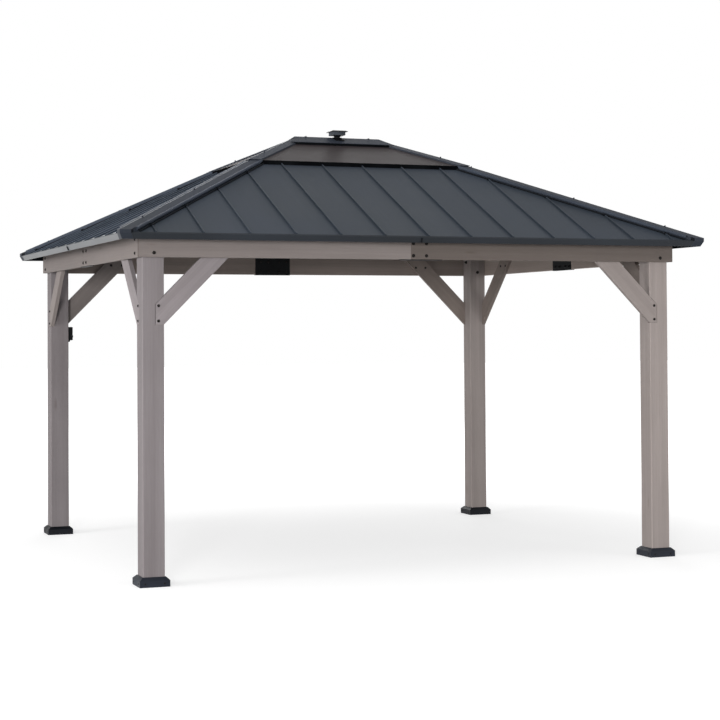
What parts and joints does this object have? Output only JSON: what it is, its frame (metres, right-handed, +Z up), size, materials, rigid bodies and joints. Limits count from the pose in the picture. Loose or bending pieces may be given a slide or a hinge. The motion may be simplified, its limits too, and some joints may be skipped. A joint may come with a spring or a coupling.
{
  "type": "wooden gazebo",
  "caption": "Free-standing timber gazebo: square posts, knee braces, spliced beams and a hipped standing-seam metal roof with a smoked skylight tier and a solar ridge lamp.",
  "frame": {"origin": "on the ground in the middle of the footprint", "axes": "+X along the longer side, +Y from the front to the back, +Z up"},
  "size_m": [4.13, 3.46, 3.0741],
  "materials": {
    "post_wood": "weathered grey stain",
    "beam_wood": "weathered grey stain",
    "brace_wood": "weathered grey stain",
    "foot_cover": "moulded, satin",
    "black_steel": "powder coated, matt",
    "roof_steel": "powder coated, satin",
    "trim_steel": "powder coated, satin",
    "smoked_panel": "smoked polycarbonate, satin",
    "black_plastic": "moulded, satin",
    "solar_panel": "glossy"
  },
  "bodies": {
    "root": {"post_front_left": "post_wood", "post_front_right": "post_wood", "post_back_left": "post_wood", "post_back_right": "post_wood", "foot_cover_front_left": "foot_cover", "foot_cover_front_right": "foot_cover", "foot_cover_back_left": "foot_cover", "foot_cover_back_right": "foot_cover", "beam_front_left": "beam_wood", "beam_front_right": "beam_wood", "beam_right_front": "beam_wood", "beam_right_back": "beam_wood", "beam_back_right": "beam_wood", "beam_back_left": "beam_wood", "beam_left_back": "beam_wood", "beam_left_front": "beam_wood", "splice_plates": "black_steel", "brace_front_left": "brace_wood", "brace_front_right": "brace_wood", "brace_right_front": "brace_wood", "brace_right_back": "brace_wood", "brace_back_right": "brace_wood", "brace_back_left": "brace_wood", "brace_left_back": "brace_wood", "brace_left_front": "brace_wood", "eave_rails": "black_steel", "rafters": "black_steel", "skylight_kerb": "black_steel", "roof_front": "roof_steel", "roof_right": "roof_steel", "roof_back": "roof_steel", "roof_left": "roof_steel", "eave_trim_front": "trim_steel", "eave_trim_right": "trim_steel", "eave_trim_back": "trim_steel", "eave_trim_left": "trim_steel", "hip_caps": "roof_steel", "skylight_frame": "black_steel", "skylight_panels": "smoked_panel", "skylight_hip_caps": "roof_steel", "ridge_riser": "black_steel", "ridge_lid": "roof_steel", "lamp_base": "black_plastic", "lamp_panel": "solar_panel", "switch_box": "black_plastic"}
  },
  "joints": []
}
